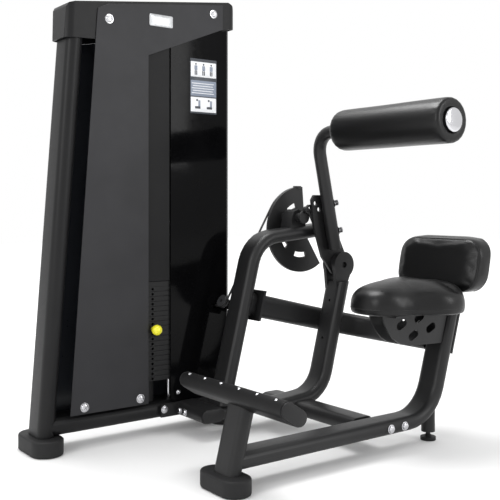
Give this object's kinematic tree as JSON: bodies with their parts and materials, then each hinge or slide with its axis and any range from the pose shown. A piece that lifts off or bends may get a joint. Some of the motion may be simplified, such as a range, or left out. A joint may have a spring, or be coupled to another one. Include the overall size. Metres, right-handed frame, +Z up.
{
  "type": "ab crunch machine",
  "caption": "Seated ab crunch machine: a padded roller on a pivoting arm lifts a pin-selected weight stack in a side tower by a cam and cable.",
  "frame": {"origin": "bottom centre of the bounding box, on the floor", "axes": "+Z up; +X from the weight tower towards the seat side; +Y towards the back pad, so the user faces -Y"},
  "size_m": [1.057, 1.3508, 1.591],
  "materials": {
    "frame_paint": "satin",
    "plates": "matte",
    "chrome": "polished",
    "rubber": "matte",
    "grey_panel": "satin",
    "gloss_panel": "gloss",
    "pulleys": "satin",
    "cable": "satin",
    "knob": "gloss",
    "vinyl": "satin"
  },
  "bodies": {
    "frame": {"tower_front_column": "frame_paint", "tower_base_beam": "frame_paint", "tower_rear_column": "frame_paint", "tower_front_foot": "rubber", "tower_rear_foot": "rubber", "tower_top_cap": "frame_paint", "side_panel_grey": "grey_panel", "side_panel_black": "gloss_panel", "stack_guard": "frame_paint", "far_side_panel": "gloss_panel", "guide_rod_front": "chrome", "guide_rod_rear": "chrome", "bumper": "rubber", "plate_11": "plates", "plate_12": "plates", "plate_13": "plates", "plate_14": "plates", "plate_15": "plates", "plate_16": "plates", "plate_17": "plates", "plate_18": "plates", "plate_19": "plates", "plate_20": "plates", "cable_stack_run": "cable", "cable_main": "cable", "cable_cam_run": "cable", "connecting_beam": "frame_paint", "j_post": "frame_paint", "middle_post": "frame_paint", "cross_member": "frame_paint", "near_frame": "frame_paint", "near_foot": "rubber", "foot_bar": "frame_paint", "seat_post": "frame_paint", "seat_beam": "frame_paint", "seat_bracket": "frame_paint", "seat_pad": "vinyl", "back_pad": "vinyl", "back_bracket": "frame_paint"},
    "arm": {"arm_carrier": "frame_paint", "arm_tube": "frame_paint"},
    "roller": {"roller_pad": "vinyl"},
    "cam": {"cam": "frame_paint"},
    "link": {"link": "frame_paint"},
    "stack": {"plate_01": "plates", "plate_02": "plates", "plate_03": "plates", "plate_04": "plates", "plate_05": "plates", "plate_06": "plates", "plate_07": "plates", "plate_08": "plates", "plate_09": "plates", "plate_10": "plates"},
    "selector": {"selector_pin": "knob"},
    "wheel_top_front": {"top_pulley_front": "pulleys"},
    "wheel_top_rear": {"top_pulley_rear": "pulleys"},
    "wheel_low": {"tower_low_pulley": "pulleys"},
    "wheel_side": {"side_pulley": "pulleys"},
    "leveller": {"leveller_near": "rubber"}
  },
  "joints": [
    {"name": "arm_pivot", "type": "hinge", "parent": "frame", "child": "arm", "pos_m": [-0.1435, 0.47464, 0.593], "axis": [1, 0, 0], "range_deg": [0, 60]},
    {"name": "cam_turn", "type": "hinge", "parent": "frame", "child": "cam", "pos_m": [-0.2355, 0.31964, 0.776], "axis": [1, 0, 0], "range_deg": [-60, 0]},
    {"name": "link_swing", "type": "hinge", "parent": "arm", "child": "link", "pos_m": [-0.1621, 0.44512, 0.58765], "axis": [1, 0, 0], "range_deg": [-60, 0]},
    {"name": "roller_spin", "type": "hinge", "parent": "arm", "child": "roller", "pos_m": [0.2595, 0.33664, 1.09], "axis": [1, 0, 0], "continuous": true},
    {"name": "stack_lift", "type": "slide", "parent": "frame", "child": "stack", "axis": [0, 0, 1], "range_m": [0, 0.0975], "deforming": ["cable_stack_run"]},
    {"name": "selector_slide", "type": "slide", "parent": "stack", "child": "selector", "axis": [1, 0, 0], "range_m": [0, 0.08]},
    {"name": "leveller_screw", "type": "slide", "parent": "frame", "child": "leveller", "axis": [0, 0, -1], "range_m": [0, 0.012]},
    {"name": "top_pulley_front_turn", "type": "hinge", "parent": "frame", "child": "wheel_top_front", "pos_m": [-0.4235, -0.18436, 1.485], "axis": [1, 0, 0], "range_deg": [-146.3, 0]},
    {"name": "top_pulley_rear_turn", "type": "hinge", "parent": "frame", "child": "wheel_top_rear", "pos_m": [-0.4235, 0.00664, 1.485], "axis": [1, 0, 0], "range_deg": [-146.3, 0]},
    {"name": "low_pulley_turn", "type": "hinge", "parent": "frame", "child": "wheel_low", "pos_m": [-0.3995, 0.04464, 0.469], "axis": [0, 1, 0], "range_deg": [-231, 0]},
    {"name": "side_pulley_turn", "type": "hinge", "parent": "frame", "child": "wheel_side", "pos_m": [-0.3275, 0.05475, 0.46225], "axis": [0, -0.8628, 0.5055], "range_deg": [0, 277]}
  ],
  "couplings": [
    {"joint": "cam_turn", "follows": "arm_pivot", "ratio": -1},
    {"joint": "link_swing", "follows": "arm_pivot", "ratio": -1},
    {"joint": "stack_lift", "follows": "arm_pivot", "m_per_rad": 0.092},
    {"joint": "top_pulley_front_turn", "follows": "arm_pivot", "ratio": -2.4211},
    {"joint": "top_pulley_rear_turn", "follows": "arm_pivot", "ratio": -2.4211},
    {"joint": "low_pulley_turn", "follows": "arm_pivot", "ratio": -3.8333},
    {"joint": "side_pulley_turn", "follows": "arm_pivot", "ratio": 4.6}
  ]
}
